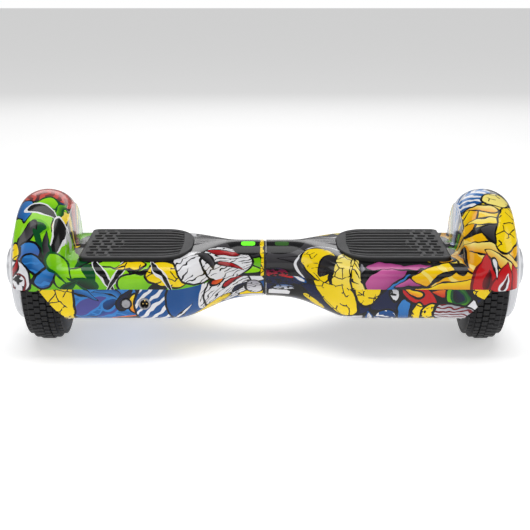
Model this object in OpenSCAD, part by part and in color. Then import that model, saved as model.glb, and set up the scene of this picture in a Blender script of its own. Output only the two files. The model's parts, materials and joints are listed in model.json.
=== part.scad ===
/* [Wheels] */
// Radius of a tyre over its tread
wheel_r = 82.5; // [78:0.5:84]
// Width of a tyre
tyre_w = 47; // [45:0.5:48]
// Distance from the board's middle to the middle of a tyre
tyre_x = 245; // [244.5:0.1:245.3]
// Radius of the rim that the tyre sits on
rim_r = 61; // [60:0.5:64]
// Distance from the board's middle to the tip of a hub's domed end
dome_tip_x = 292; // [288:1:300]
// Radius of an axle
axle_r = 7; // [6:0.5:8]

/* [Wheel arches] */
// Radius of an arch over its crown
arch_r = 88; // [87:0.5:90]
// Distance from the board's middle to the inner wall of an arch
arch_in = 216; // [215:0.5:216.5]
// Distance from the board's middle to the outer edge of an arch
arch_out = 276; // [275:0.5:277]
// Height of the rounded crown over the straight side of an arch
crown_h = 24; // [20:1:26]
// Radius at which the outer side of an arch ends
lip_r = 73; // [70:1:76]

/* [Body] */
// Half of the body's depth beside a wheel
body_half = 87; // [84:0.5:88]
// Height of the deck beside a foot mat
deck_z = 107; // [105:0.5:109]
// Height of the body's underside
belly_z = 36.5; // [34:0.5:38]
// Height of the line where the upper and lower shells meet
seam_z = 79.5; // [78:0.5:80]
// Radius of the round neck in the middle of the board
neck_r = 32; // [31:0.5:34]
// Height of the neck's axis, on which the two halves turn
pivot_z = 80.6; // [80:0.1:81]
// Thickness of the shells
wall = 2.6; // [2.2:0.1:3]
// Gap between the two halves
half_gap = 2.6; // [2.4:0.1:3]

/* [Foot mats] */
// Distance from the board's middle to a mat's outer edge
mat_out = 203; // [198:1:204]
// Distance from the board's middle to a mat's inner tip
mat_in = 81; // [80:1:90]
// Half of a mat's depth
mat_half = 67; // [60:1:68]
// Height of a mat's top
mat_z = 110.4; // [109.5:0.1:111]
// How far a mat moves down under a foot
mat_travel = 1.2; // [0.6:0.1:1.2]

/* [Pivot] */
// Radius of the pivot tube
tube_r = 17; // [16:0.5:18]
// Angle that the right half turns each way
pivot_limit = 12; // [8:1:14]

/* [Switch and socket] */
// Distance from the board's middle to the power button
button_x = 150; // [145:1:155]
// Height of the power button and the charging socket
button_z = 63.5; // [60:0.5:66]
// Radius of the power button
button_r = 4.8; // [4:0.1:5.5]
// Distance from the board's middle to the charging socket
socket_x = 130; // [125:1:133]
// Radius of the hole in the charging socket
socket_r = 4.4; // [4.2:0.1:4.8]

/* [Hidden] */
$fn = 48;
slip = 0.05;
neck_out = 28;
taper_out = 100;
taper_belly = 95;
taper_deck_in = 45;
well_in = arch_in + wall;
well_r = arch_r - wall;
skirt_out = 246;
arch_foot_z = 77.5;
mat_floor_z = 102.4;
mat_under_z = mat_floor_z + mat_travel + 0.2;
mat_gap = 0.6;
post_x = 150;
post_y = 42;
post_r = 4;
post_foot_z = 99.5;
plate_z = 73.5;
plate_t = 4;
sleeve_r = 24;
sleeve_end = 66;
block_in = 168;
block_out = 206;
clamp_gap = 0.6;
bolt_xs = [176, 198];
bolt_y = 11.5;
gate_z = 88.6;
boss_spots = [[92, 48], [92, -48], [118, 68], [118, -68], [196, 58], [196, -58]];
boss_r = 5;
boss_top = plate_z - 0.2;
screw_head_z = 47;
window_in = 11;
window_out = 27;
window_tilt = 15;
face_y = body_half - 0.4;
lamp_x = 145;
lamp_w = 50;
lamp_h = 10;
lamp_z = 66;
stator_x = 246;
stator_r = 44;
stator_w = 26;
slots = 18;
magnets = 20;
cover_r = 56;
cover_x = 222;

// ---------------------------------------------------------------- helpers

// A smooth step from 0 to 1
function ease(t) = let (u = min(max(t, 0), 1)) u * u * (3 - 2 * u);

// A value that runs smoothly from a to b as x goes from x0 to x1
function run(a, b, x, x0, x1) = a + (b - a) * ease((x - x0) / (x1 - x0));

// Half depth, deck height, belly height and corner sharpness of the body at a distance x
function half_at(x) = run(neck_r, body_half, x, neck_out, taper_out);
function deck_at(x) = run(pivot_z + neck_r, deck_z, x, taper_deck_in, taper_out);
function belly_at(x) = run(pivot_z - neck_r, belly_z, x, 5, taper_belly);
function top_power(x) = run(2, 5, x, neck_out, taper_out);
function low_power(x) = run(2, 4, x, neck_out, taper_out);

// One point of a rounded outline: a goes from 0 at +Y to 180 at -Y
function bow(a, w, h, n) = [
    w * sign(cos(a)) * pow(abs(cos(a)), 2 / n),
    h * pow(abs(sin(a)), 2 / n)
];

// Half a cross-section at x, made thinner by cut, on the upper (s = 1) or lower (s = -1) side
function half_ring(x, cut, s, steps) = [
    for (i = [0 : steps])
        let (
            n = s > 0 ? top_power(x) : low_power(x),
            tall = s > 0 ? deck_at(x) - seam_z : seam_z - belly_at(x),
            p = bow(180 * i / steps, half_at(x) - cut, tall - cut, n)
        )
        [x, p[0], seam_z + s * p[1]]
];

// A closed solid swept through half cross-sections at the places xs
module half_body(xs, cut, s, steps = 20) {
    m = steps + 1;
    last = len(xs) - 1;
    pts = [for (x = xs) for (p = half_ring(x, cut, s, steps)) p];
    sides = [
        for (k = [0 : last - 1]) for (i = [0 : m - 1])
            let (j = (i + 1) % m)
            [k * m + i, k * m + j, (k + 1) * m + j, (k + 1) * m + i]
    ];
    ends = [
        [for (i = [m - 1 : -1 : 0]) i],
        [for (i = [0 : m - 1]) last * m + i]
    ];
    faces = concat(sides, ends);
    polyhedron(pts, s < 0 ? faces : [for (f = faces) [for (i = [len(f) - 1 : -1 : 0]) f[i]]]);
}

// Places along a half body from the neck to a far end
function stations(start, end) = concat(
    [start],
    [for (x = [12, 24, 33, 42, 51, 60, 69, 78, 88, 100]) x],
    [end]
);

module along_x(x) {
    translate([x, 0, 0])
        rotate([0, 90, 0])
            children();
}

// A round bar or, with a hole, a ring along X at the height z
module bar_x(x0, x1, r, z = wheel_r, hole = 0) {
    translate([x0, 0, z])
        rotate([0, 90, 0])
            difference() {
                cylinder(h = x1 - x0, r = r);
                if (hole > 0)
                    translate([0, 0, -1])
                        cylinder(h = x1 - x0 + 2, r = hole);
            }
}

// A bar along Y
module bar_y(x, y0, y1, z, r) {
    translate([x, y1, z])
        rotate([90, 0, 0])
            cylinder(h = y1 - y0, r = r);
}

module on_left() {
    mirror([1, 0, 0])
        children();
}

// A solid of revolution about the axle, from a profile of [radius, distance along X]
module about_axle(profile, fn = 64) {
    translate([0, 0, wheel_r])
        rotate([0, 90, 0])
            rotate_extrude($fn = fn)
                polygon(profile);
}

// The span above or below a height, as a block around one half of the board
module above(z) {
    translate([-20, -120, z])
        cube([340, 240, 200]);
}

// ---------------------------------------------------------------- shells

// Crown of a wheel arch: a half ellipse on straight sides
function crown(r, x0, x1, h, foot, steps = 10) =
    let (mid = (x0 + x1) / 2, wide = (x1 - x0) / 2)
    concat(
        [[foot, x0]],
        [for (i = [0 : steps])
            let (a = 180 * i / steps)
            [r - h + h * sin(a), mid - wide * cos(a)]],
        [[foot, x1]]
    );

module arch_outside() {
    intersection() {
        about_axle(crown(arch_r, arch_in, arch_out, crown_h, 20), 56);
        union() {
            above(seam_z);
            translate([skirt_out, -120, arch_foot_z])
                cube([60, 240, 60]);
        }
    }
}

// Room for the wheel: open at the outer side inside the lip
module wheel_well() {
    about_axle(crown(well_r, well_in, arch_out - wall, crown_h - 1, 0), 56);
    bar_x(well_in + 1, arch_out + 30, lip_r);
}

module mat_outline(grow) {
    offset(delta = grow)
        polygon(concat(
            [[mat_out, -mat_half + 6], [mat_out, mat_half - 6], [mat_out - 6, mat_half]],
            [for (a = [90 : 15 : 270])
                [mat_in + 34 + 34 * cos(a), mat_half * pow(abs(sin(a)), 0.75) * sign(sin(a))]],
            [[mat_out - 6, -mat_half]]
        ));
}

module indicator_slot(grow) {
    translate([0, 0, pivot_z])
        rotate([window_tilt, 0, 0])
            translate([window_in - grow, -5 - grow, 20])
                cube([window_out - window_in + 2 * grow, 10 + 2 * grow, 20]);
}

module top_shell() {
    xs_out = stations(half_gap / 2, arch_in + 1);
    xs_in = stations(half_gap / 2 + wall, arch_in);
    resize([0, 0, 0])
        difference() {
            union() {
                difference() {
                    union() {
                        half_body(xs_out, 0, 1);
                        arch_outside();
                    }
                    half_body(xs_in, wall, 1);
                }
                intersection() {
                    half_body(xs_out, 0.4, 1);
                    translate([0, 0, mat_floor_z - wall])
                        linear_extrude(deck_z)
                            mat_outline(mat_gap + wall);
                }
            }
            wheel_well();
            translate([0, 0, mat_floor_z])
                linear_extrude(20)
                    mat_outline(mat_gap);
            for (y = [-post_y, post_y])
                translate([post_x, y, 90])
                    cylinder(h = 20, r = post_r + 1, $fn = 16);
            bar_x(-1, half_gap / 2 + wall + 1, sleeve_r + 1, pivot_z);
            bar_x(arch_in - 10, well_in + 1, axle_r + 4);
            indicator_slot(0.1);
        }
}

module bottom_shell() {
    xs_out = stations(half_gap / 2, skirt_out);
    xs_in = stations(half_gap / 2 + wall, arch_in);
    resize([0, 0, 0])
        difference() {
            union() {
                difference() {
                    half_body(xs_out, 0, -1);
                    half_body(xs_in, wall, -1);
                }
                intersection() {
                    half_body(xs_out, 0.4, -1);
                    for (s = boss_spots)
                        translate([s[0], s[1], 30])
                            cylinder(h = boss_top - 30, r = boss_r, $fn = 14);
                }
            }
            translate([well_in, 0, wheel_r])
                rotate([0, 90, 0])
                    cylinder(h = arch_out - well_in, r = well_r, $fn = 56);
            translate([0, 120, 0])
                rotate([90, 0, 0])
                    linear_extrude(240)
                        polygon([[skirt_out - 2, seam_z + 1], [238, 67], [230, 57], [221, 50.5],
                                 [well_in + 1, 48], [well_in + 1, 0], [300, 0], [300, seam_z + 1]]);
            bar_x(-1, half_gap / 2 + wall + 1, sleeve_r + 1, pivot_z);
            bar_x(arch_in - 10, well_in + 1, axle_r + 4);
            for (s = boss_spots) {
                translate([s[0], s[1], 30])
                    cylinder(h = 60, r = 2.3, $fn = 14);
                translate([s[0], s[1], 30])
                    cylinder(h = screw_head_z - 30, r = 4, $fn = 14);
            }
            translate([lamp_x - lamp_w / 2 - 0.2, 80, lamp_z - lamp_h / 2 - 0.2])
                cube([lamp_w + 0.4, 20, lamp_h + 0.4]);
            children();
        }
}

module left_top_shell() {
    color("limegreen")
        on_left()
            top_shell();
}

module left_bottom_shell() {
    color("royalblue")
        on_left()
            bottom_shell() {
                bar_y(button_x, -95, -70, button_z, button_r + 2.2);
                bar_y(socket_x, -95, -70, button_z, socket_r + 1.7);
            }
}

module right_top_shell() {
    color("gold")
        top_shell();
}

module right_bottom_shell() {
    color("crimson")
        bottom_shell();
}

// ---------------------------------------------------------------- chassis and pivot

module chassis(bore) {
    difference() {
        union() {
            bar_x(half_gap / 2, sleeve_end, sleeve_r, pivot_z);
            translate([0, 0, plate_z])
                linear_extrude(plate_t)
                    polygon([[56, -22], [86, -60], [block_out, -62],
                             [block_out, 62], [86, 60], [56, 22]]);
            for (y = [-34, 30])
                translate([84, y, plate_z])
                    cube([block_out - 84, 4, 10]);
            translate([block_in, -17, plate_z - 6])
                cube([block_out - block_in, 34, wheel_r - plate_z + 6 - clamp_gap / 2]);
        }
        bar_x(-1, 84, bore, pivot_z);
        bar_x(sleeve_end, 74, sleeve_r, pivot_z);
        bar_x(block_in - 1, block_out + 1, axle_r, wheel_r);
        for (x = bolt_xs, y = [-bolt_y, bolt_y])
            translate([x, y, 60])
                cylinder(h = 40, r = 2.6);
        for (s = boss_spots)
            translate([s[0], s[1], 70])
                cylinder(h = 10, r = 2.1);
        translate([82, -10, 70])
            cube([32, 20, 10]);
    }
}

module lock_hole(x, r) {
    translate([x, 0, pivot_z - 40])
        cylinder(h = 40, r = r);
}

module left_chassis() {
    color("silver")
        on_left()
            difference() {
                chassis(tube_r + slip);
                for (x = [22, 46])
                    lock_hole(x, 3.05);
            }
}

module right_chassis() {
    color("silver")
        difference() {
            chassis(tube_r + 2.5);
            lock_hole(34, 3.05);
        }
}

module pivot_tube() {
    color("lightgray")
        difference() {
            bar_x(-64, 72, tube_r, pivot_z, tube_r - 3.5);
            for (x = [-22, -46])
                lock_hole(x, 3.05);
            // Slot that the stop screw runs in, as long as the swing of the right half
            translate([34 - 3.3, 0, pivot_z])
                rotate([0, 90, 0])
                    linear_extrude(6.6)
                        polygon(concat([[0, 0]],
                            [for (k = [-1 : 0.25 : 1])
                                let (a = k * (pivot_limit + 14))
                                [30 * cos(a), 30 * sin(a)]]));
            // Groove for the circlip
            bar_x(68, 69.6, tube_r + 2, pivot_z, tube_r - 1.2);
        }
}

module tube_lock_bolts() {
    color("dimgray")
        for (x = [-22, -46])
            translate([x, 0, pivot_z - 28]) {
                cylinder(h = 16, r = 3);
                translate([0, 0, -0.6])
                    cylinder(h = 4, r = 4.6);
            }
}

module stop_screw() {
    color("dimgray")
        translate([34, 0, pivot_z - 28]) {
            cylinder(h = 13.2, r = 3);
            translate([0, 0, -0.6])
                cylinder(h = 4, r = 4.6);
        }
}

module pivot_bushes() {
    color("peru")
        for (x = [3, 48])
            bar_x(x, x + 15, tube_r + 2.5, pivot_z, tube_r + slip);
}

module thrust_washer() {
    color("black")
        bar_x(-half_gap / 2, half_gap / 2 - 0.3, neck_r - 1.2, pivot_z, tube_r + slip);
}

module retaining_washer() {
    color("gray")
        bar_x(sleeve_end + 0.3, 67.9, sleeve_r - 1, pivot_z, tube_r + slip);
}

module circlip() {
    color("darkgray")
        difference() {
            bar_x(68.1, 69.5, tube_r + 2.2, pivot_z, tube_r - 1.1);
            translate([67, -3, pivot_z + 8])
                cube([4, 6, 20]);
        }
}

module link_cable() {
    color("black") {
        bar_x(-104, 92, 4, pivot_z);
        translate([-104, 0, 69.5])
            cylinder(h = pivot_z - 69.5, r = 4);
        translate([-104, 0, pivot_z])
            sphere(r = 4);
        bar_x(92, 98, 6, pivot_z);
    }
}

// ---------------------------------------------------------------- wheels

module axle() {
    difference() {
        union() {
            bar_x(block_in, 287, axle_r);
            bar_x(stator_x - stator_w / 2 - 4, stator_x + stator_w / 2 + 2, axle_r + 4);
        }
        bar_x(block_in - 1, 238, 3.6);
        translate([234, 0, wheel_r])
            cylinder(h = 20, r = 3.4);
    }
}

module stator() {
    bar_x(stator_x - stator_w / 2, stator_x + stator_w / 2, 27, wheel_r, axle_r + 4.1);
    for (i = [0 : slots - 1])
        translate([stator_x - stator_w / 2, 0, wheel_r])
            rotate([i * 360 / slots, 0, 0])
                translate([0, -2.5, 26])
                    cube([stator_w, 5, stator_r - 26]);
}

module windings() {
    for (i = [0 : slots - 1])
        translate([0, 0, wheel_r])
            rotate([i * 360 / slots, 0, 0])
                difference() {
                    translate([stator_x - stator_w / 2 - 3, -4.4, 29])
                        cube([stator_w + 6, 8.8, 12]);
                    translate([stator_x - stator_w / 2 - 0.1, -2.6, 28])
                        cube([stator_w + 0.2, 5.2, 14]);
                }
}

module axle_clamp() {
    difference() {
        translate([block_in, -17, wheel_r + clamp_gap / 2])
            cube([block_out - block_in, 34, 12]);
        bar_x(block_in - 1, block_out + 1, axle_r);
        for (x = bolt_xs, y = [-bolt_y, bolt_y])
            translate([x, y, 70])
                cylinder(h = 40, r = 2.6);
    }
}

module clamp_bolts() {
    for (x = bolt_xs, y = [-bolt_y, bolt_y])
        translate([x, y, 72]) {
            cylinder(h = wheel_r + 12.4 - 72, r = 2.5);
            translate([0, 0, wheel_r + 12.4 - 72])
                cylinder(h = 4, r = 4.2);
        }
}

module motor_cable() {
    bar_x(130, 236, 3.2);
    translate([118, -5, wheel_r - 4.5])
        cube([12, 10, 9]);
}

module tyre() {
    half = tyre_w / 2;
    about_axle(concat(
        [[rim_r, tyre_x - half + 3]],
        [for (a = [0 : 12 : 180])
            let (p = bow(a, half, wheel_r - rim_r - 1, 2.2))
            [rim_r + 1 + p[1], tyre_x - p[0]]],
        [[rim_r, tyre_x + half - 3]]
    ), 96);
}

// Barrel, outer wall and domed end in one casting
module rim() {
    dome_x = dome_tip_x - 13;
    about_axle(concat(
        [[cover_r + 0.1, cover_x], [rim_r, cover_x], [rim_r, dome_x - 8], [55, dome_x]],
        [for (a = [15 : 15 : 90]) [55 * cos(a), dome_x + 13 * sin(a)]],
        [[0, dome_x + 9.5], [9.05, dome_x + 9.5], [9.05, dome_x - 4], [14, dome_x - 4],
         [14, dome_x - 1], [50, dome_x - 3], [50, cover_x + 6], [cover_r + 0.1, cover_x + 6]]
    ), 96);
}

module magnet_ring() {
    for (i = [0 : magnets - 1])
        translate([stator_x - stator_w / 2, 0, wheel_r])
            rotate([i * 360 / magnets, 0, 0])
                translate([0, -6.4, 45])
                    cube([stator_w, 12.8, 4]);
}

module inner_cover() {
    difference() {
        union() {
            bar_x(cover_x, cover_x + 5.8, cover_r, wheel_r, 11.05);
            bar_x(cover_x, cover_x + 10, 16, wheel_r, 11.05);
            bar_x(cover_x, cover_x + 1.6, 12, wheel_r, axle_r + 0.4);
        }
        for (i = [0 : 5])
            translate([0, 0, wheel_r])
                rotate([i * 60, 0, 0])
                    translate([cover_x - 1, 0, 53])
                        rotate([0, 90, 0])
                            cylinder(h = 12, r = 1.6);
    }
}

module cover_screws() {
    for (i = [0 : 5])
        translate([0, 0, wheel_r])
            rotate([i * 60, 0, 0])
                translate([cover_x - 1.8, 0, 53])
                    rotate([0, 90, 0]) {
                        cylinder(h = 7.4, r = 1.5);
                        cylinder(h = 1.8, r = 2.9);
                    }
}

module bearings() {
    bar_x(cover_x + 1.7, cover_x + 6.7, 11, wheel_r, axle_r + slip);
    bar_x(dome_tip_x - 16.9, dome_tip_x - 11, 9, wheel_r, axle_r + slip);
}

// ---------------------------------------------------------------- foot mats and sensors

module foot_mat() {
    translate([0, 0, mat_under_z])
        linear_extrude(mat_z - mat_under_z)
            mat_outline(0);
    for (y = [-post_y, post_y]) {
        translate([post_x, y, post_foot_z])
            cylinder(h = mat_under_z - post_foot_z, r = post_r);
        translate([post_x - 1, y - 3, post_foot_z - 6])
            cube([2, 6, 6.1]);
    }
}

module sensor_board() {
    difference() {
        translate([124, -54, gate_z - 1.6])
            cube([42, 108, 1.6]);
        for (x = [128, 162], y = [-50, 50])
            translate([x, y, 80])
                cylinder(h = 12, r = 1.7);
    }
    for (x = [128, 162], y = [-50, 50])
        translate([x, y, plate_z + plate_t])
            cylinder(h = gate_z - 1.6 - plate_z - plate_t, r = 3);
}

module light_gates() {
    for (y = [-post_y, post_y])
        difference() {
            translate([post_x - 6, y - 4, gate_z])
                cube([12, 8, 9]);
            translate([post_x - 1.7, y - 5, gate_z + 3])
                cube([3.4, 10, 7]);
        }
}

// ---------------------------------------------------------------- electrics

module main_board() {
    color("darkgreen") {
        translate([-194, -40, 65])
            cube([104, 80, 1.6]);
        for (x = [-186, -98], y = [-34, 34])
            translate([x, y, 66.6])
                cylinder(h = plate_z - 66.6, r = 3);
        for (k = [0 : 5])
            translate([-180 + 14 * k, -30, 52])
                cube([10, 4, 14.2]);
        for (k = [0 : 2])
            translate([-172 + 26 * k, 24, 48])
                cylinder(h = 18.2, r = 8);
        translate([-150, -12, 60])
            cube([34, 24, 6.2]);
    }
}

module battery_pack() {
    color("mediumblue")
        difference() {
            translate([84, -34, 41.2])
                cube([114, 68, 26]);
            for (y = [-36, 36])
                translate([83, y, 54])
                    rotate([0, 90, 0])
                        cylinder(h = 116, r = 4);
        }
}

module battery_lead() {
    color("red") {
        translate([104, 0, 67.2])
            cylinder(h = pivot_z - 67.2, r = 4);
        bar_x(98.4, 108, 6, pivot_z);
    }
}

module power_switch() {
    color("dimgray")
        difference() {
            union() {
                bar_y(-button_x, -face_y - 0.8, -78, button_z, button_r + 1.6);
                bar_y(-button_x, -78, -62, button_z, button_r + 3);
            }
            bar_y(-button_x, -face_y - 3, -80, button_z, button_r + slip);
        }
}

module power_button() {
    color("silver")
        bar_y(-button_x, -face_y - 1.3, -81.4, button_z, button_r);
}

module charging_socket() {
    color("silver")
        difference() {
            union() {
                bar_y(-socket_x, -face_y - 1.2, -face_y - 0.35, button_z, socket_r + 2.2);
                bar_y(-socket_x, -face_y - 1, -70, button_z, socket_r + 1.6);
            }
            bar_y(-socket_x, -face_y - 3, -69, button_z, socket_r);
        }
}

module charging_insert() {
    color("black")
        bar_y(-socket_x, -79, -68, button_z, socket_r - slip);
}

module charging_pins() {
    color("gold")
        for (a = [90, 210, 330])
            bar_y(-socket_x + 2.3 * cos(a), -82.6, -79, button_z + 2.3 * sin(a), 0.7);
}

module indicator_window() {
    intersection() {
        indicator_slot(0);
        bar_x(0, 40, neck_r - 0.1, pivot_z, neck_r - wall);
    }
}

module indicator_board() {
    translate([0, 0, pivot_z])
        rotate([window_tilt, 0, 0])
            translate([window_in, -5, sleeve_r + 0.6])
                cube([window_out - window_in, 10, 1.6]);
}

module headlight() {
    translate([lamp_x - lamp_w / 2, 81, lamp_z - lamp_h / 2])
        cube([lamp_w, face_y - 81, lamp_h]);
}

module shell_screws() {
    for (s = boss_spots)
        translate([s[0], s[1], screw_head_z - 2.4]) {
            cylinder(h = plate_z + plate_t + 1 - screw_head_z + 2.4, r = 2);
            cylinder(h = 2.3, r = 3.6);
        }
}

// ---------------------------------------------------------------- named pieces

module left_axle() { color("lightgray") on_left() axle(); }
module right_axle() { color("lightgray") axle(); }
module left_stator() { color("slategray") on_left() stator(); }
module right_stator() { color("slategray") stator(); }
module left_windings() { color("chocolate") on_left() windings(); }
module right_windings() { color("chocolate") windings(); }
module left_axle_clamp() { color("silver") on_left() axle_clamp(); }
module right_axle_clamp() { color("silver") axle_clamp(); }
module left_clamp_bolts() { color("dimgray") on_left() clamp_bolts(); }
module right_clamp_bolts() { color("dimgray") clamp_bolts(); }
module left_motor_cable() { color("black") on_left() motor_cable(); }
module right_motor_cable() { color("black") motor_cable(); }
module left_sensor_board() { color("green") on_left() sensor_board(); }
module right_sensor_board() { color("green") sensor_board(); }
module left_light_gates() { color("black") on_left() light_gates(); }
module right_light_gates() { color("black") light_gates(); }
module left_indicator_window() { color("lime") on_left() indicator_window(); }
module right_indicator_window() { color("darkolivegreen") indicator_window(); }
module left_indicator_board() { color("green") on_left() indicator_board(); }
module right_indicator_board() { color("green") indicator_board(); }
module left_headlight() { color("lightblue") on_left() headlight(); }
module right_headlight() { color("lightblue") headlight(); }
module left_shell_screws() { color("dimgray") on_left() shell_screws(); }
module right_shell_screws() { color("dimgray") shell_screws(); }
module left_tyre() { color("black") on_left() tyre(); }
module right_tyre() { color("black") tyre(); }
module left_rim() { color("gainsboro") on_left() rim(); }
module right_rim() { color("gainsboro") rim(); }
module left_magnets() { color("gray") on_left() magnet_ring(); }
module right_magnets() { color("gray") magnet_ring(); }
module left_inner_cover() { color("silver") on_left() inner_cover(); }
module right_inner_cover() { color("silver") inner_cover(); }
module left_cover_screws() { color("dimgray") on_left() cover_screws(); }
module right_cover_screws() { color("dimgray") cover_screws(); }
module left_bearings() { color("lightgray") on_left() bearings(); }
module right_bearings() { color("lightgray") bearings(); }
module left_foot_mat() { color("darkslategray") on_left() foot_mat(); }
module right_foot_mat() { color("darkslategray") foot_mat(); }

left_top_shell();
left_bottom_shell();
left_chassis();
pivot_tube();
tube_lock_bolts();
thrust_washer();
retaining_washer();
circlip();
left_axle();
left_stator();
left_windings();
left_axle_clamp();
left_clamp_bolts();
left_motor_cable();
main_board();
left_sensor_board();
left_light_gates();
power_switch();
charging_socket();
charging_insert();
charging_pins();
left_indicator_window();
left_indicator_board();
left_headlight();
left_shell_screws();
link_cable();
left_tyre();
left_rim();
left_magnets();
left_inner_cover();
left_cover_screws();
left_bearings();
left_foot_mat();
power_button();
right_top_shell();
right_bottom_shell();
right_chassis();
pivot_bushes();
stop_screw();
right_axle();
right_stator();
right_windings();
right_axle_clamp();
right_clamp_bolts();
right_motor_cable();
battery_pack();
battery_lead();
right_sensor_board();
right_light_gates();
right_indicator_window();
right_indicator_board();
right_headlight();
right_shell_screws();
right_tyre();
right_rim();
right_magnets();
right_inner_cover();
right_cover_screws();
right_bearings();
right_foot_mat();
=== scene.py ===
# %% [markdown]
# # A self balancing board
# The board is two hollow plastic halves on one tube, a wheel with a motor in its hub at each end, and a
# rubber mat on each half. The working parts come in as a fixed frame, and this file adds the surfaces that
# show: the printed shells, the ribbed mats, the tyres' tread, the domed hubs and the small trim.

# %% Load the frame
import json
import math

import bmesh
import bpy
import numpy as np
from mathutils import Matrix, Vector


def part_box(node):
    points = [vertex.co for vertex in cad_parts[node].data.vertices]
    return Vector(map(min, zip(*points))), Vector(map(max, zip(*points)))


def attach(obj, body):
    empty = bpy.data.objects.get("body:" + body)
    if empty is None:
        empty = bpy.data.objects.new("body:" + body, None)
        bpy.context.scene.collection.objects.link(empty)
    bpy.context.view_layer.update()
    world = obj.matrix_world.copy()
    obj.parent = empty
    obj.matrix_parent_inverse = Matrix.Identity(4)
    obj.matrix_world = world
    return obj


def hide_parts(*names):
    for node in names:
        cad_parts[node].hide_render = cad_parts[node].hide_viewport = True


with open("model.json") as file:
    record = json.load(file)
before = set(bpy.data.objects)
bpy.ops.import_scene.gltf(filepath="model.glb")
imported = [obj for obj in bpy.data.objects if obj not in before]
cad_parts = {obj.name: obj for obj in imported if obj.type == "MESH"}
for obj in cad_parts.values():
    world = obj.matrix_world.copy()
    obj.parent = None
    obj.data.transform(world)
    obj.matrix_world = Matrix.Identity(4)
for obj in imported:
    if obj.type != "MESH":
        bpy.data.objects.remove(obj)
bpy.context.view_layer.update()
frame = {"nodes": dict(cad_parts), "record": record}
nodes = frame["nodes"]
MM = 0.001

# %% [markdown]
# ## Sizes that everything shares
# The body has the same outline as the frame's shells: a round neck that swells into a wide flat body. All
# numbers here are millimetres. Anything that the frame already knows is read from the frame instead, so the
# pieces cannot drift away from the parts that carry them.

# %% Sizes
tyre_low, tyre_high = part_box("right_tyre")
mat_low, mat_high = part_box("right_foot_mat")
shell_low, shell_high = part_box("right_top_shell")
AXLE_Z = (tyre_high.z + tyre_low.z) / 2 / MM
WHEEL_R = (tyre_high.z - tyre_low.z) / 2 / MM
TYRE_X = (tyre_low.x + tyre_high.x) / 2 / MM
TYRE_HALF = (tyre_high.x - tyre_low.x) / 2 / MM
ARCH_R = shell_high.z / MM - AXLE_Z
MAT_TOP = mat_high.z / MM
ARCH_IN = 216.0
ARCH_OUT = 276.0
CROWN_H = 24.0
LIP_R = 73.0
WALL = 2.6
BODY_HALF = 87.0
DECK_Z = 107.0
BELLY_Z = 36.5
SEAM_Z = 79.5
NECK_R = 32.0
PIVOT_Z = 80.6
GAP = 1.3
MAT_IN, MAT_OUT, MAT_HALF, MAT_CORNER = 81.0, 203.0, 67.0, 9.0
MAT_FLOOR = 102.4
SKIRT_END = 244.0
SKIRT_ROWS = 26
print("wheel radius", round(WHEEL_R, 2), "arch radius", round(ARCH_R, 2), "mat top", round(MAT_TOP, 2))

# %% Numbers along the body
def ease(t):
    u = np.clip(t, 0, 1)
    return u * u * (3 - 2 * u)


def run(a, b, x, x0, x1):
    return a + (b - a) * ease((x - x0) / (x1 - x0))


def half_at(x): return run(NECK_R, BODY_HALF, x, 28, 100)
def deck_at(x): return run(PIVOT_Z + NECK_R, DECK_Z, x, 45, 100)
def belly_at(x): return run(PIVOT_Z - NECK_R, BELLY_Z, x, 5, 95)
def top_power(x): return run(2, 5, x, 28, 100)
def low_power(x): return run(2, 4, x, 28, 100)


# %% [markdown]
# ## Building a surface from a rule
# A shell is a sheet of points: one direction runs along the board and the other round it. A short function
# turns such a grid into a mesh, and closes it where its ends meet. This keeps the faces even, which matters
# because the shell is glossy and a glossy surface shows every uneven face.

# %% Mesh helpers
def new_object(name, verts, faces, smooth=True):
    mesh = bpy.data.meshes.new(name)
    mesh.from_pydata([tuple(v) for v in verts], [], [tuple(f) for f in faces])
    mesh.validate()
    obj = bpy.data.objects.new(name, mesh)
    bpy.context.scene.collection.objects.link(obj)
    mesh.polygons.foreach_set("use_smooth", [smooth] * len(mesh.polygons))
    return obj


def tidy_mesh(obj, merge=1e-6):
    bm = bmesh.new()
    bm.from_mesh(obj.data)
    bmesh.ops.remove_doubles(bm, verts=bm.verts, dist=merge)
    bmesh.ops.recalc_face_normals(bm, faces=bm.faces)
    bm.to_mesh(obj.data)
    bm.free()
    return obj


def sharp_by_angle(obj, degrees=35):
    bm = bmesh.new()
    bm.from_mesh(obj.data)
    for e in bm.edges:
        if len(e.link_faces) == 2:
            e.smooth = e.calc_face_angle(0) < math.radians(degrees)
    bm.to_mesh(obj.data)
    bm.free()
    return obj


def mirrored(obj, name):
    """A left copy of a right piece, with its faces turned the right way out."""
    mesh = obj.data.copy()
    mesh.name = name
    copy = bpy.data.objects.new(name, mesh)
    bpy.context.scene.collection.objects.link(copy)
    co = np.zeros(len(mesh.vertices) * 3, np.float32)
    mesh.vertices.foreach_get("co", co)
    co[0::3] *= -1
    mesh.vertices.foreach_set("co", co)
    mesh.flip_normals()
    return copy


def spun(name, profile, steps, smooth_angle, place):
    """A closed ring or solid of revolution; place gives a point from (radius, distance, angle)."""
    m = len(profile)
    verts = [[c * MM for c in place(r, s, 2 * math.pi * k / steps)] for k in range(steps) for r, s in profile]
    faces = []
    for k in range(steps):
        for i in range(m):
            j, n = (i + 1) % m, (k + 1) % steps
            faces.append((k * m + i, k * m + j, n * m + j, n * m + i))
    return sharp_by_angle(tidy_mesh(new_object(name, verts, faces)), smooth_angle)


def lathe(name, profile, steps, smooth_angle=35):
    """A turned piece about the axle, from points (radius, x) in millimetres."""
    return spun(name, profile, steps, smooth_angle,
                lambda r, x, a: (x, r * math.sin(a), AXLE_Z + r * math.cos(a)))


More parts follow.
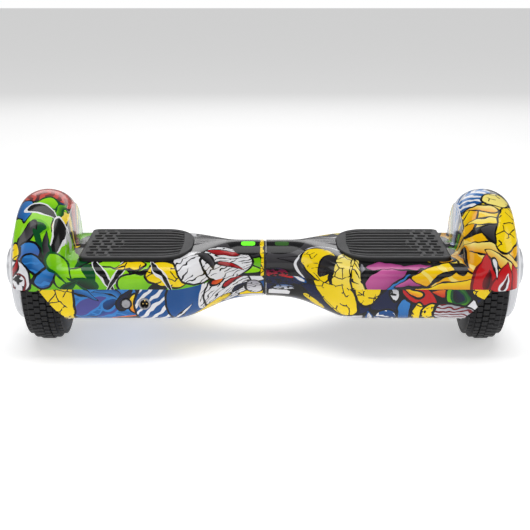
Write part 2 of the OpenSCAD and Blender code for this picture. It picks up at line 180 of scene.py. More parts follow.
def bevelled(obj, width, segments=3, angle=30):
    mod = obj.modifiers.new("soft_edges", "BEVEL")
    mod.width = width * MM
    mod.segments = segments
    mod.limit_method = "ANGLE"
    mod.angle_limit = math.radians(angle)
    return applied(obj)


def applied(obj):
    """The object with its modifiers made into plain mesh."""
    graph = bpy.context.evaluated_depsgraph_get()
    mesh = bpy.data.meshes.new_from_object(obj.evaluated_get(graph))
    obj.modifiers.clear()
    obj.data = mesh
    return obj


def cut(obj, cutter):
    """Takes the cutter out of the object and removes the cutter."""
    mod = obj.modifiers.new("cut", "BOOLEAN")
    mod.operation = "DIFFERENCE"
    mod.solver = "EXACT"
    mod.object = cutter
    applied(obj)
    bpy.data.objects.remove(cutter)
    return obj


def block(name, low, high, turn=None, about=None):
    """A box between two corners in millimetres, turned about the X axis if asked."""
    verts = [(x, y, z) for x in (low[0], high[0]) for y in (low[1], high[1]) for z in (low[2], high[2])]
    faces = [(0, 1, 3, 2), (4, 6, 7, 5), (0, 4, 5, 1), (2, 3, 7, 6), (0, 2, 6, 4), (1, 5, 7, 3)]
    if turn:
        c, s = math.cos(turn), math.sin(turn)
        verts = [(x, c * y - s * (z - about), about + s * y + c * (z - about)) for x, y, z in verts]
    return tidy_mesh(new_object(name, [Vector(v) * MM for v in verts], faces, False))


def prism(name, outline, low, high, axis):
    """A bar along an axis (0, 1 or 2) between two places, from its outline in millimetres."""
    m = len(outline)
    verts = []
    for end in (low, high):
        for point in outline:
            spot = [c * MM for c in point]
            spot.insert(axis, end * MM)
            verts.append(spot)
    faces = [(i, (i + 1) % m, m + (i + 1) % m, m + i) for i in range(m)]
    faces += [tuple(range(m)), tuple(range(2 * m - 1, m - 1, -1))]
    return tidy_mesh(new_object(name, verts, faces, False))


def rod(name, u, v, low, high, r, axis, steps):
    """A round bar along an axis, centred on (u, v) in the plane across it."""
    angles = [2 * math.pi * k / steps for k in range(steps)]
    return prism(name, [(u + r * math.cos(a), v + r * math.sin(a)) for a in angles], low, high, axis)


# %% [markdown]
# ## The upper shell
# On the real board one moulding makes the deck and the wheel arch. Both are measured outwards from the axle,
# as a radius at each angle, and the larger of the two wins. A soft maximum does the same but leaves a
# rounded valley where they meet, just as a mould would. The wall then gets its thickness by repeating the
# sheet a little closer to the axle, and the two sheets are joined along the rim.

# %% Upper shell surface
def section(x, inset, side, a):
    """Points (y, z) of the body's outline at x, above the seam (side 1) or below it (side -1)."""
    n = top_power(x) if side > 0 else low_power(x)
    tall = deck_at(x) - SEAM_Z if side > 0 else SEAM_Z - belly_at(x)
    c, t = np.cos(a), np.sin(a)
    y = -(half_at(x) - inset) * np.sign(c) * np.abs(c) ** (2 / n)
    return y, SEAM_Z + side * (tall - inset) * np.abs(t) ** (2 / n)


def body_outline(x, inset):
    """Angle and radius, seen from the axle, of the body's upper outline at x."""
    y, z = section(x, inset, 1, np.linspace(0, math.pi, 240))
    return np.unwrap(np.arctan2(z - AXLE_Z, -y)), np.hypot(y, z - AXLE_Z)


def crown_radius(x, inset):
    """Radius of the arch at x: a half ellipse, on a side that slopes a little as a moulding must."""
    low, high = ARCH_IN + inset, ARCH_OUT - inset
    t = (x - (low + high) / 2) / ((high - low) / 2)
    top = ARCH_R - inset - CROWN_H + CROWN_H * math.sqrt(max(0, 1 - t * t))
    return top - 14 * max(0, low - x)


def soft_max(a, b, blend):
    d = np.clip(0.5 + 0.5 * (a - b) / blend, 0, 1)
    return b * (1 - d) + a * d + blend * d * (1 - d)


RING = 161
CROWN_X = (ARCH_IN + ARCH_OUT) / 2
LIP_X = CROWN_X + 30 * math.sqrt(1 - ((LIP_R - ARCH_R + CROWN_H) / CROWN_H) ** 2)
TOP_XS = np.unique(np.concatenate([
    np.linspace(GAP, 28, 12), np.linspace(28, 105, 50), np.linspace(105, 198, 20),
    np.linspace(198, 208, 20), np.linspace(208, 213, 44), np.linspace(213, 246, 32),
    LIP_X - (LIP_X - 246) * np.linspace(1, 0, 26) ** 1.6]))


def top_ring(x, inset):
    """Points of the upper shell at x, pulled in by inset, from the rear seam over to the front seam."""
    foot = SEAM_Z - 2 * float(ease((x - 243) / 4))
    ang, rad = body_outline(min(x, ARCH_IN), inset)
    arch = crown_radius(x, inset)
    edge = max(arch, rad[0]) if x < CROWN_X else arch
    low = math.asin((foot - AXLE_Z) / edge)
    grid = np.linspace(low, math.pi - low, RING)
    r = np.interp(grid, ang, rad)
    if x > CROWN_X:
        r = np.full(RING, arch)
    elif x > ARCH_IN - 16:
        r = np.minimum(soft_max(r, np.full(RING, arch), 6.0), ARCH_R - inset)
    z = AXLE_Z + r * np.sin(grid)
    return np.stack([np.full(RING, x), -r * np.cos(grid), z], 1)


def close_sheets(name, outer, inner, cap_far=False):
    """One closed solid from an outer and an inner sheet of points."""
    rows, cols = outer.shape[:2]
    verts = np.concatenate([outer.reshape(-1, 3), inner.reshape(-1, 3)]) * MM
    base = rows * cols
    faces = []
    for k in range(rows - 1):
        for i in range(cols - 1):
            a, b = k * cols + i, k * cols + i + 1
            c, d = b + cols, a + cols
            faces += [(a, b, c, d), (base + a, base + d, base + c, base + b)]
        for i in (0, cols - 1):
            a, d = k * cols + i, (k + 1) * cols + i
            faces.append((a, d, base + d, base + a))
    for k in (0, rows - 1):
        if k and cap_far:
            faces.append(tuple(k * cols + i for i in range(cols)))
            faces.append(tuple(base + k * cols + i for i in range(cols)))
            continue
        for i in range(cols - 1):
            a, b = k * cols + i, k * cols + i + 1
            faces.append((a, b, base + b, base + a))
    return sharp_by_angle(tidy_mesh(new_object(name, verts, faces)), 40)


outer = np.array([top_ring(x, 0) for x in TOP_XS])
inner = np.array([top_ring(min(x, LIP_X - 1.6), WALL) for x in TOP_XS])
inner[-1, :, 0] = LIP_X - 0.6
right_top = close_sheets("right_printed_top", outer, inner)
print("upper shell:", outer.shape[0], "by", RING, "points, height", round(outer[:, :, 2].max(), 1))

# %% Joining loose pieces into one object
def joined(main, *others):
    bm = bmesh.new()
    for o in (main, *others):
        bm.from_mesh(o.data)
    bm.to_mesh(main.data)
    bm.free()
    for o in others:
        bpy.data.objects.remove(o)
    return main


# %% [markdown]
# The wheel runs beside a flat inner wall, and the mat lies in a shallow pan. Both belong to the same
# moulding, so they are made as plates that meet the sheet from inside.

# %% Inner wall, pan and openings of the upper shell
def mat_outline(grow):
    """Outline of a foot mat: square with small corners outside, rounded like a bullet inside."""
    out, deep, tip = MAT_OUT + grow, MAT_HALF + grow, MAT_IN - grow
    cx, cy = out - MAT_CORNER, deep - MAT_CORNER
    pts = [(out, -cy), (out, cy)]
    pts += [(cx + MAT_CORNER * math.cos(a), cy + MAT_CORNER * math.sin(a)) for a in np.linspace(0.2, 1.5, 5)]
    for a in np.linspace(math.pi / 2, 3 * math.pi / 2, 25):
        s = math.sin(a)
        pts.append((tip + 34 + 34 * math.cos(a), deep * abs(s) ** 0.75 * math.copysign(1, s)))
    pts += [(cx + MAT_CORNER * math.cos(a), -cy + MAT_CORNER * math.sin(a)) for a in np.linspace(-1.5, -0.2, 5)]
    return pts


arc = np.linspace(math.asin((SEAM_Z - AXLE_Z) / 85), math.pi - math.asin((SEAM_Z - AXLE_Z) / 85), 60)
wall_r = crown_radius(ARCH_IN + WALL, 0) - 1.5
hole = [(11 * math.cos(a), AXLE_Z + 11 * math.sin(a)) for a in np.linspace(math.pi + 0.27, -0.27, 20)]
rim_pts = [(-wall_r * math.cos(a), AXLE_Z + wall_r * math.sin(a)) for a in arc]
wall_plate = prism("well_wall", rim_pts + [(10.6, SEAM_Z)] + hole[::-1] + [(-10.6, SEAM_Z)],
                   ARCH_IN + 0.4, ARCH_IN + WALL, 0)
pan = prism("pan", mat_outline(2.4), MAT_FLOOR - WALL, MAT_FLOOR, 2)
cut(right_top, prism("mat_room", mat_outline(0.6), MAT_FLOOR, 125, 2))
WINDOW_IN, WINDOW_OUT, WINDOW_TILT = 11, 27, math.radians(15)
slot_room = block("slot_room", (WINDOW_IN, -5, PIVOT_Z + 20), (WINDOW_OUT, 5, PIVOT_Z + 40),
                  WINDOW_TILT, PIVOT_Z)
cut(right_top, bevelled(slot_room, 3, 4))
joined(right_top, wall_plate, pan)
print("upper shell faces:", len(right_top.data.polygons))

# %% [markdown]
# ## The lower shell
# The lower moulding closes the body from below and carries a thin skirt round the front and back of each
# wheel. The skirt's edge sweeps down towards the body, so it is built as its own pair of sheets that carry
# on the same outline.

# %% Lower shell
LOW_XS = np.unique(np.concatenate([
    np.linspace(GAP, 30, 16), np.linspace(30, 105, 50), np.linspace(105, ARCH_IN + WALL, 24)]))


def low_ring(x, inset, x_real):
    a = np.linspace(0, math.pi, RING)
    a = a - 0.18 * np.sin(4 * a) * 0.5
    y, z = section(x, inset, -1, a)
    return np.stack([np.full(RING, x_real), y, z], 1)


low_outer = np.array([low_ring(x, 0, x) for x in LOW_XS])
# The inner sheet ends one wall short, which leaves the end its thickness
SHRINK = (ARCH_IN - GAP) / (ARCH_IN + WALL - GAP)
low_inner = np.array([low_ring(x, WALL, GAP + (x - GAP) * SHRINK) for x in LOW_XS])
low_inner[:, 0, 2] = low_inner[:, -1, 2] = SEAM_Z
right_low = close_sheets("right_printed_lower", low_outer, low_inner, cap_far=True)


def skirt(name, face):
    """The thin wall at the front (face -1) or the rear (face 1) of a wheel."""
    out_rows, in_rows = [], []
    for x in np.linspace(ARCH_IN, SKIRT_END, 40):
        t = max(0, (x - ARCH_IN - WALL) / (SKIRT_END - ARCH_IN - WALL))
        z = np.linspace(SEAM_Z, 47.5 + 31.6 * t ** 1.15, SKIRT_ROWS)
        y = BODY_HALF * (1 - np.abs((SEAM_Z - z) / (SEAM_Z - BELLY_Z)) ** 4) ** 0.25
        room = np.sqrt(85.4 ** 2 - (z - AXLE_Z) ** 2)
        for rows, depth in ((out_rows, y), (in_rows, np.minimum(room, y - 0.4))):
            rows.append(np.stack([np.full(SKIRT_ROWS, x), face * depth, z], 1))
    return close_sheets(name, np.array(out_rows), np.array(in_rows))


joined(right_low, skirt("rear_skirt", 1), skirt("front_skirt", -1))
lamp_low, lamp_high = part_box("right_headlight")
lamp_room = block("lamp_room", (lamp_low.x / MM - 0.3, 78, lamp_low.z / MM - 0.3),
                  (lamp_high.x / MM + 0.3, 95, lamp_high.z / MM + 0.3))
cut(right_low, bevelled(lamp_room, 3, 4))
SCREW_SPOTS = [(92, 48), (92, -48), (118, 68), (118, -68), (196, 58), (196, -58)]
for x, y in SCREW_SPOTS:
    cut(right_low, rod("screw_room", x, y, 30, 47, 4, 2, 32))
print("lower shell faces:", len(right_low.data.polygons))

# %% Left shells, with holes for the button and the socket
left_top = mirrored(right_top, "left_printed_top")
left_low = mirrored(right_low, "left_printed_lower")
button_low, button_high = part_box("power_button")
socket_low, socket_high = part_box("charging_socket")
BUTTON_X = (button_low.x + button_high.x) / 2 / MM
SWITCH_Z = (button_low.z + button_high.z) / 2 / MM
SOCKET_X = (socket_low.x + socket_high.x) / 2 / MM
cut(left_low, rod("button_room", BUTTON_X, SWITCH_Z, -95, -70, 6.6, 1, 64))
cut(left_low, rod("socket_room", SOCKET_X, SWITCH_Z, -95, -70, 6.1, 1, 64))
print("button at", round(BUTTON_X, 1), "socket at", round(SOCKET_X, 1))

# %% [markdown]
# ## Tyres
# A tyre is a smooth carcass with rows of rubber blocks. The carcass is turned on a lathe; the blocks are one
# small shape that Geometry Nodes repeat round the wheel, with each row shifted by half a step.

# %% Tyre carcass
TREAD = 2.6
BEAD_R = 62.0
BOW = 2.2
TREAD_ROWS, TREAD_STEPS, ROW_PITCH = 6, 60, 7.2


def tyre_profile(drop):
    """Radius and x of the tyre's outside from the inner to the outer side wall."""
    pts = []
    for a in np.linspace(0, math.pi, 41):
        c, t = math.cos(a), math.sin(a)
        pts.append((BEAD_R + (WHEEL_R - BEAD_R - drop) * abs(t) ** (2 / BOW),
                    -math.copysign(TYRE_HALF - 0.3, c) * abs(c) ** (2 / BOW)))
    return pts


profile = [(61.2, 3 - TYRE_HALF)] + tyre_profile(TREAD) + [(61.2, TYRE_HALF - 3)]
carcass = lathe("right_tread_tyre", [(r, TYRE_X + x) for r, x in profile], 144)

# %% Node helpers
class Nodes:
    """A thin wrapper that makes nodes in a tree and feeds their inputs in one call."""

    def __init__(self, tree):
        self.tree = tree

    def feed(self, socket, value):
        """Links the value in if it is a socket, and sets it as a constant if not."""
        if isinstance(value, bpy.types.NodeSocket):
            self.tree.links.new(value, socket)
        else:
            socket.default_value = value

    def fill(self, node, **inputs):
        """Feeds inputs by name, or by number as i0, i1 and so on."""
        for key, value in inputs.items():
            numbered = key[0] == "i" and key[1:].isdigit()
            self.feed(node.inputs[int(key[1:]) if numbered else key.replace("_", " ")], value)
        return node

    def add(self, kind, settings=None, **inputs):
        node = self.tree.nodes.new(kind)
        for key, value in (settings or {}).items():
            setattr(node, key, value)
        return self.fill(node, **inputs)

    def math(self, operation, a, b=0.0, c=0.0):
        return self.add("ShaderNodeMath", {"operation": operation}, i0=a, i1=b, i2=c).outputs[0]

    def vector(self, operation, a, b=(0, 0, 0)):
        node = self.add("ShaderNodeVectorMath", {"operation": operation}, i0=a, i1=b)
        return node.outputs[1] if operation == "LENGTH" else node.outputs[0]

    def mix(self, factor, a, b):
        return self.add("ShaderNodeMix", {"data_type": "RGBA"}, i0=factor, i6=a, i7=b).outputs[2]


# %% Tread blocks by Geometry Nodes
def tread_tree():
    """A group that sets a block at every point and turns it to face away from the axle."""
    tree = bpy.data.node_groups.new("tread_rows", "GeometryNodeTree")
    face = tree.interface
    face.new_socket("Geometry", in_out="INPUT", socket_type="NodeSocketGeometry")
    for label, value in (("Block length", 0.0072), ("Block width", 0.0066), ("Block height", 0.004)):
        face.new_socket(label, in_out="INPUT", socket_type="NodeSocketFloat").default_value = value
    face.new_socket("Rubber", in_out="INPUT", socket_type="NodeSocketMaterial")
    face.new_socket("Geometry", in_out="OUTPUT", socket_type="NodeSocketGeometry")
    n = Nodes(tree)
    start = n.add("NodeGroupInput").outputs
    size = n.add("ShaderNodeCombineXYZ", None, i0=start["Block width"], i1=start["Block length"],
                 i2=start["Block height"])
    cube = n.add("GeometryNodeMeshCube", None, Size=size.outputs[0])
    normal = n.add("GeometryNodeInputNamedAttribute", {"data_type": "FLOAT_VECTOR"}, Name="outwards")
    turn = n.add("FunctionNodeAlignRotationToVector", {"axis": "Z", "pivot_axis": "X"},
                 Vector=normal.outputs["Attribute"])
    spread = n.add("GeometryNodeInstanceOnPoints", None, Points=start["Geometry"],
                   Instance=cube.outputs["Mesh"], Rotation=turn.outputs["Rotation"])
    real = n.add("GeometryNodeRealizeInstances", None, Geometry=spread.outputs["Instances"])
    paint = n.add("GeometryNodeSetMaterial", None, Geometry=real.outputs["Geometry"], Material=start["Rubber"])
    n.add("NodeGroupOutput", None, Geometry=paint.outputs["Geometry"])
    return tree


def set_input(mod, label, value):
    """Sets a modifier's input by its identifier, which is what the modifier stores."""
    for item in mod.node_group.interface.items_tree:
        if item.item_type == "SOCKET" and item.in_out == "INPUT" and item.name == label:
            mod[item.identifier] = value


def tread_points(name):
    """One point for each block, with the direction that it faces."""
    pts, out = [], []
    for row in range(TREAD_ROWS):
        offset = (row - (TREAD_ROWS - 1) / 2) * ROW_PITCH
        share = abs(offset / TYRE_HALF) ** BOW
        surface = BEAD_R + (WHEEL_R - BEAD_R) * (1 - share) ** (1 / BOW)
        slope = (surface - BEAD_R) * share / (1 - share) / offset
        tilt = math.atan(slope)
        across = offset - 2.1 * math.sin(tilt)
        r = surface - 2.1 * math.cos(tilt)
        for k in range(TREAD_STEPS):
            a = 2 * math.pi * (k + 0.5 * (row % 2)) / TREAD_STEPS
            pts.append(((TYRE_X + across) * MM, r * math.sin(a) * MM, (AXLE_Z + r * math.cos(a)) * MM))
            out.append((math.sin(tilt), math.cos(tilt) * math.sin(a), math.cos(tilt) * math.cos(a)))
    obj = new_object(name, pts, [])
    field = obj.data.attributes.new("outwards", "FLOAT_VECTOR", "POINT")
    field.data.foreach_set("vector", np.array(out, np.float32).ravel())
    return obj


rubber = bpy.data.materials.new("tyre_rubber")
TREAD_TREE = tread_tree()


def tread_blocks(name):
    """Blocks for one tyre as plain mesh, with their corners softened."""
    obj = tread_points(name)
    mod = obj.modifiers.new("tread", "NODES")
    mod.node_group = TREAD_TREE
    set_input(mod, "Rubber", rubber)
    applied(obj)
    return bevelled(obj, 0.7, 2)


right_tyre = joined(carcass, tread_blocks("tread_blocks"))
right_tyre.name = "right_tread_tyre"
left_tyre = mirrored(right_tyre, "left_tread_tyre")
print("tyre faces:", len(right_tyre.data.polygons))

# %% [markdown]
# ## Domed hubs
# The outer end of each hub motor is a casting with a shallow dome, a step near its rim and a plain
# round badge. It is turned on the same lathe as the tyre, from a list of points.

# %% Hub
rim_low, rim_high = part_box("right_rim")
DOME_TIP = rim_high.x / MM
DOME_X = DOME_TIP - 13
HUB_IN = rim_low.x / MM + 0.5


def hub_profile():
    dome = [(53.0 - 31.5 * t, DOME_X - 0.6 + 10.0 * t ** 0.8 - 0.6 * t) for t in np.linspace(0.02, 1, 16)]
    badge = [(20.5, DOME_TIP - 1.9), (20, DOME_TIP - 2.6), (18.6, DOME_TIP - 2.6), (18, DOME_TIP - 0.9),
             (16, DOME_TIP - 0.2), (9, DOME_TIP - 0.05), (0.01, DOME_TIP)]
    outside = [(60.8, HUB_IN), (60.8, DOME_X - 8), (58.6, DOME_X - 6.5), (57.6, DOME_X - 3),
               (55.6, DOME_X - 1.2), (54.6, DOME_X - 1.2), (54.2, DOME_X)]
    inside = [(0.01, DOME_X + 9.6), (9.1, DOME_X + 9.6), (9.1, DOME_X - 3.9), (14, DOME_X - 3.9),
              (14, DOME_X - 1.4), (50, DOME_X - 3), (50, HUB_IN + 5), (56.2, HUB_IN + 5), (56.2, HUB_IN)]
    return outside + dome + badge + inside


right_hub = lathe("right_domed_hub", hub_profile(), 160, smooth_angle=28)
left_hub = mirrored(right_hub, "left_domed_hub")
print("hub faces:", len(right_hub.data.polygons))

# %% [markdown]
# ## Foot mats
# A mat is one rubber moulding. Long grooves fan out along it, and near the wheel they break up into short
# dashes, which grip better at the outside of a foot. The top is a fine sheet of points whose height follows
# a rule, so each groove has sloping sides and a flat floor like a moulded one.

# %% Foot mat
GROOVE_DEEP = 2.1


def smooth_band(d, half, edge=0.7):
    """1 inside a band of that half width, falling to 0 across its edge."""
    return 1 - ease((np.abs(d) - half + edge / 2) / edge)


def groove_depth(x, y, half):
    """Depth of the pattern at a point; half is the mat's half depth at that x."""
    lanes = 9
    v = y / np.maximum(half - 8.5, 1) * (lanes / 2)
    lane = np.floor(v)
    inside = np.abs(v) < lanes / 2
    pitch = np.maximum(half - 8.5, 1) * 2 / lanes
    away = (v - lane - 0.5) * pitch
    long_start = 164 - 5.0 * np.cos(v * 0.9)
    groove = smooth_band(away, pitch * 0.3, 0.8)
    stop = ease((x - 91.5 - 0.05 * np.abs(y)) / 1.2)
    along = (x - 164 + 3.5 * (lane % 2)) / 12.5
    part = (along - np.floor(along)) * 12.5
    dash = smooth_band(part - 4.6, 4.4, 0.9)
    chosen = np.where(x < long_start, stop, dash * (1 - ease((x - 196.5) / 1.0)))
    return np.where(inside, groove * chosen, 0)


def outline_half(x):
    """Half depth of the mat at x."""
    corner_x = MAT_OUT - MAT_CORNER
    t = np.clip((115 - x) / 34, 0, 1)
    round_end = MAT_HALF * (1 - t ** 2) ** 0.375
    past = np.clip(x, corner_x, MAT_OUT) - corner_x
    corner = MAT_HALF - MAT_CORNER + np.sqrt(np.clip(MAT_CORNER ** 2 - past ** 2, 0, None))
    return np.where(x < 115, round_end, np.where(x > corner_x, corner, MAT_HALF))


def foot_mat(name):
    cols, deep = 190, 200
    ends = MAT_IN + (MAT_OUT - MAT_IN) * (1 - np.cos(np.linspace(0, math.pi, cols))) / 2
    xs = 0.25 * ends + 0.75 * np.linspace(MAT_IN, MAT_OUT, cols)
    half = np.maximum(outline_half(xs), 1.0)
    vs = np.linspace(-1, 1, deep)
    x = np.repeat(xs[:, None], deep, 1)
    y = half[:, None] * vs[None, :]
    from_edge = np.minimum(np.minimum(half[:, None] - np.abs(y), MAT_OUT - x), (x - MAT_IN) * 1.5)
    z = MAT_TOP - 1.6 * (1 - np.sqrt(np.clip(1 - (1 - np.clip(from_edge / 2.2, 0, 1)) ** 2, 0, 1)))
    inner_rim = ease((half[:, None] - np.abs(y) - 4.6) / 1.2) * ease((x - 87) / 1.2)
    z = z - 0.45 * inner_rim * (1 - ease((x - 199.5) / 1.0))
    z = z - GROOVE_DEEP * groove_depth(x, y, half[:, None])
    top = np.stack([x, y, z], 2)
    low = top.copy()
    low[:, :, 2] = mat_under
    return close_sheets(name, top, low)


mat_under = MAT_FLOOR + 1.4
right_mat = foot_mat("right_ribbed_mat")
for y in (-42, 42):
    joined(right_mat, rod("post", 150, y, 99.6, mat_under + 0.4, 4, 2, 32),
           block("blade", (149, y - 3, 93.6), (151, y + 3, 99.8)))
left_mat = mirrored(right_mat, "left_ribbed_mat")
print("mat faces:", len(right_mat.data.polygons))

# %% [markdown]
# ## Small trim
# The button and the socket are small metal turnings. Each has a rim that catches the light, so they are
# given soft edges instead of plain drums.

# %% Button, socket, windows and lamps
def turned_y(name, x, z, profile):
    """A turned piece about a line along Y, from points (radius, y) in millimetres."""
    return spun(name, profile, 72, 30, lambda r, y, a: (x + r * math.cos(a), y, z + r * math.sin(a)))


button_y = button_low.y / MM
cap = turned_y("silver_button_cap", BUTTON_X, SWITCH_Z, [
    (0.01, button_y + 0.35), (1.6, button_y + 0.3), (3.4, button_y), (4.3, button_y + 0.1),
    (4.75, button_y + 0.6), (4.8, -81.5), (0.01, -81.5)])
bezel = turned_y("dark_button_ring", BUTTON_X, SWITCH_Z, [
    (4.9, -80), (4.9, -86.9), (5.15, -87.35), (5.8, -87.3), (6.35, -86.8), (6.4, -78.1), (7.8, -78),
    (7.8, -62), (0.01, -62), (0.01, -80)])
socket_y = socket_low.y / MM
ring = turned_y("silver_socket_ring", SOCKET_X, SWITCH_Z, [
    (4.42, -70), (4.42, socket_y + 0.9), (4.7, socket_y + 0.25), (5.3, socket_y), (6.1, socket_y + 0.1),
    (6.55, socket_y + 0.55), (6.55, socket_y + 0.85), (6.0, socket_y + 0.9), (6.0, -70)])
# The socket's key is a small rib inside its bore
joined(ring, block("key", (SOCKET_X - 0.7, -86.4, SWITCH_Z - 4.6), (SOCKET_X + 0.7, -79.5, SWITCH_Z - 3.7)))


def curved_window(name, side):
    """A rounded window that follows the neck, a little below its surface."""
    xs = np.linspace(WINDOW_IN + 0.15, WINDOW_OUT - 0.15, 25)
    vs = np.linspace(-4.85, 4.85, 21)
    rows_out, rows_in = [], []
    for x in xs:
        t = min(x - xs[0], xs[-1] - x)
        shrink = 4.85 - (3 - math.sqrt(max(0, 9 - (3 - min(t, 3)) ** 2)))
        w = vs / 4.85 * shrink
        for rows, r in ((rows_out, NECK_R - 0.25), (rows_in, NECK_R - 2.4)):
            a = w / r + WINDOW_TILT
            rows.append(np.stack([np.full(21, side * x), -r * np.sin(a), PIVOT_Z + r * np.cos(a)], 1))
    return close_sheets(name, np.array(rows_out), np.array(rows_in))


left_window = curved_window("left_lit_window", -1)
right_window = curved_window("right_dim_window", 1)


def lamp(name):
    """A clear bar with fine upright flutes behind a flat face."""
    lo, hi = lamp_low / MM, lamp_high / MM
    body = bevelled(block(name, (lo.x, 81, lo.z), (hi.x, 86.55, hi.z)), 2.4, 5)
    bars = [block("flute", (x, 86.5, lo.z + 1.6), (x + 1.1, 86.6, hi.z - 1.6))
            for x in np.arange(lo.x + 3, hi.x - 3, 2.2)]
    return joined(body, *bars)


right_lamp = lamp("right_lamp_lens")
left_lamp = mirrored(right_lamp, "left_lamp_lens")
print("trim made")

# %% [markdown]
# # Finishes
# Plain finishes first. Each is one function that builds a Principled shader with a fine bump and a slight
# change of roughness over the surface, because nothing real is perfectly even.

# %% Finish helpers
def rgb(r, g, b):
    return (r, g, b, 1.0)


def new_material(material):
    if isinstance(material, str):
        material = bpy.data.materials.new(material)
    material.use_nodes = True
    tree = material.node_tree
    tree.nodes.clear()
    n = Nodes(tree)
    shader = n.add("ShaderNodeBsdfPrincipled")
    n.add("ShaderNodeOutputMaterial", None, Surface=shader.outputs[0])
    return material, n, shader, n.add("ShaderNodeTexCoord").outputs["Object"]


def plain(name, colour, rough, metal=0.0, grain=900, bump=0.06, vary=0.12, shade=0.25, stretch=(1, 1, 1),
          shine=0.5):
    """A finish with fine grain, cloudy roughness and a slight change of shade."""
    material, n, shader, place = new_material(name)
    drawn = n.add("ShaderNodeMapping", None, Vector=place, Scale=stretch).outputs[0]
    fine = n.add("ShaderNodeTexNoise", None, Vector=drawn, Scale=grain, Detail=3.0).outputs[0]
    cloud = n.add("ShaderNodeTexNoise", None, Vector=place, Scale=24.0, Detail=4.0).outputs[0]
    dark = tuple(c * (1 - shade) for c in colour[:3]) + (1.0,)
    dent = n.add("ShaderNodeBump", None, Height=fine, Strength=bump, Distance=0.0004)
    n.fill(shader, Base_Color=n.mix(cloud, dark, colour), Metallic=metal, Specular_IOR_Level=shine,
           Roughness=n.math("MULTIPLY_ADD", cloud, vary, rough - vary / 2), Normal=dent.outputs[0])
    return material, n, shader


def ribbed_rubber():
    """Mat rubber: scuffed grey on the ribs, with painted shade that darkens it to black down in the grooves."""
    material, n, shader = plain("mat_rubber", rgb(0.022, 0.022, 0.024), 0.5, 0, 1400, 0.3, shine=0.4)
    place = n.add("ShaderNodeTexCoord").outputs["Object"]
    height = n.add("ShaderNodeSeparateXYZ", None, i0=place).outputs[2]
    # Painted shade: the lower a point lies in a groove, the nearer its colour goes to black.
    depth = n.add("ShaderNodeMapRange", None, Value=height, From_Min=(MAT_TOP - 1.7) * MM,
                  From_Max=(MAT_TOP - 0.9) * MM).outputs[0]
    scuff = n.add("ShaderNodeTexNoise", None, Vector=place, Scale=60.0, Detail=5.0).outputs[0]
    worn = n.mix(scuff, rgb(0.018, 0.018, 0.02), rgb(0.05, 0.05, 0.054))
    n.fill(shader, Base_Color=n.mix(depth, rgb(0.002, 0.002, 0.002), worn))
    return material


FINISHES = {
    "mat_rubber": ribbed_rubber(),
    "tyre_rubber": plain(rubber, rgb(0.006, 0.006, 0.008), 0.5, 0, 1100, 0.25, shine=0.3)[0],
    "hub_metal": plain("hub_paint", rgb(0.72, 0.73, 0.76), 0.3, 0.35, 1600, 0.04)[0],
    "cast_aluminium": plain("cast_aluminium", rgb(0.6, 0.61, 0.62), 0.45, 1, 700, 0.5)[0],
    "steel": plain("turned_steel", rgb(0.56, 0.56, 0.58), 0.28, 1, 500, 0.15, stretch=(8, 1, 1))[0],
    "dark_steel": plain("black_oxide", rgb(0.05, 0.05, 0.055), 0.4, 0.8, 900, 0.1)[0],
    "stator_steel": plain("stacked_sheets", rgb(0.2, 0.2, 0.22), 0.5, 0.8, 700, 0.4, stretch=(6, 1, 1))[0],
    "copper": plain("enamelled_copper", rgb(0.62, 0.2, 0.07), 0.3, 0.9, 600, 0.5, stretch=(1, 5, 5))[0],
    "bronze": plain("bronze", rgb(0.55, 0.34, 0.14), 0.35, 1, 700, 0.2)[0],
    "black_plastic": plain("black_plastic", rgb(0.012, 0.012, 0.013), 0.45, 0, 1500, 0.2)[0],
    "circuit_board": plain("green_board", rgb(0.01, 0.12, 0.04), 0.35, 0, 300, 0.1)[0],
    "cable_rubber": plain("cable_jacket", rgb(0.015, 0.015, 0.015), 0.5, 0, 900, 0.1)[0],
    "battery_wrap": plain("shrink_wrap", rgb(0.01, 0.06, 0.3), 0.25, 0, 200, 0.15)[0],
    "lead_red": plain("red_lead", rgb(0.45, 0.015, 0.01), 0.45, 0, 900, 0.1)[0],
    "switch_metal": plain("plated_metal", rgb(0.36, 0.36, 0.38), 0.32, 1, 900, 0.1)[0],
    "switch_body": plain("dark_plate", rgb(0.03, 0.03, 0.035), 0.3, 0.7, 900, 0.05)[0],
    "gold_contact": plain("gold_plate", rgb(0.8, 0.55, 0.18), 0.25, 1, 900, 0.05)[0],
    "lamp_lens": plain("lamp_lens", rgb(0.75, 0.85, 0.95), 0.1, 0, 400, 0.05)[0],
}


def lit_window(name, colour, glow):
    material, n, shader = plain(name, colour, 0.15, 0, 500, 0.03)
    n.fill(shader, Emission_Color=colour, Emission_Strength=glow)
    return material


FINISHES["green_window"] = lit_window("green_window", rgb(0.12, 0.8, 0.02), 0.9)
FINISHES["dim_window"] = lit_window("dim_window", rgb(0.03, 0.12, 0.015), 0.12)
print("plain finishes:", len(FINISHES))

# %% [markdown]
# ## The printed film
# The shells are dipped through a film that is printed with street-art shapes, so the picture wraps round
# every curve. A print like this is built in layers: each patch is a bent ellipse with a shaded fill and a
# drawn edge, laid over the ones before. The place on the shell is worked out from Object coordinates: how
# far along the board, and the angle about the axle. A little noise bends every line, as a hand does. The
# shapes are plain blobs, bands, cracks and stripes, with no lettering and no figures.

